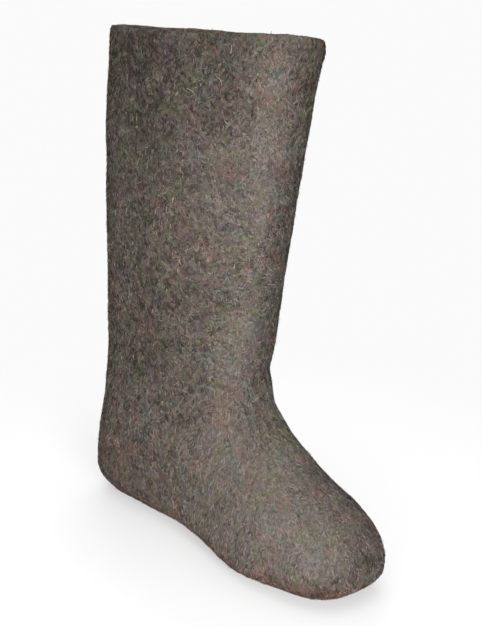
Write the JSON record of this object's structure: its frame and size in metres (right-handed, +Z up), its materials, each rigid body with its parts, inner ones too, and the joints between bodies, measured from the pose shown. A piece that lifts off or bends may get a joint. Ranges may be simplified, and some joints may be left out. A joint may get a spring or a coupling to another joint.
{
  "type": "valenki felt boot",
  "caption": "Tall boot felted in one piece, with a plain oval shaft, a rounded toe, a flat felt sole and an open collar; it keeps a foot warm on dry snow.",
  "frame": {"origin": "on the floor, below the centre of the bounding box", "axes": "+X to the toe, +Y to the boot's left side, +Z up the shaft"},
  "size_m": [0.2824, 0.123, 0.38],
  "materials": {
    "grey_brown_felt": "thick heathered wool felt with a short pale nap",
    "insole_felt": "flat pressed wool felt"
  },
  "bodies": {
    "root": {"felt_upper": "grey_brown_felt", "felt_insole": "insole_felt"}
  },
  "joints": []
}
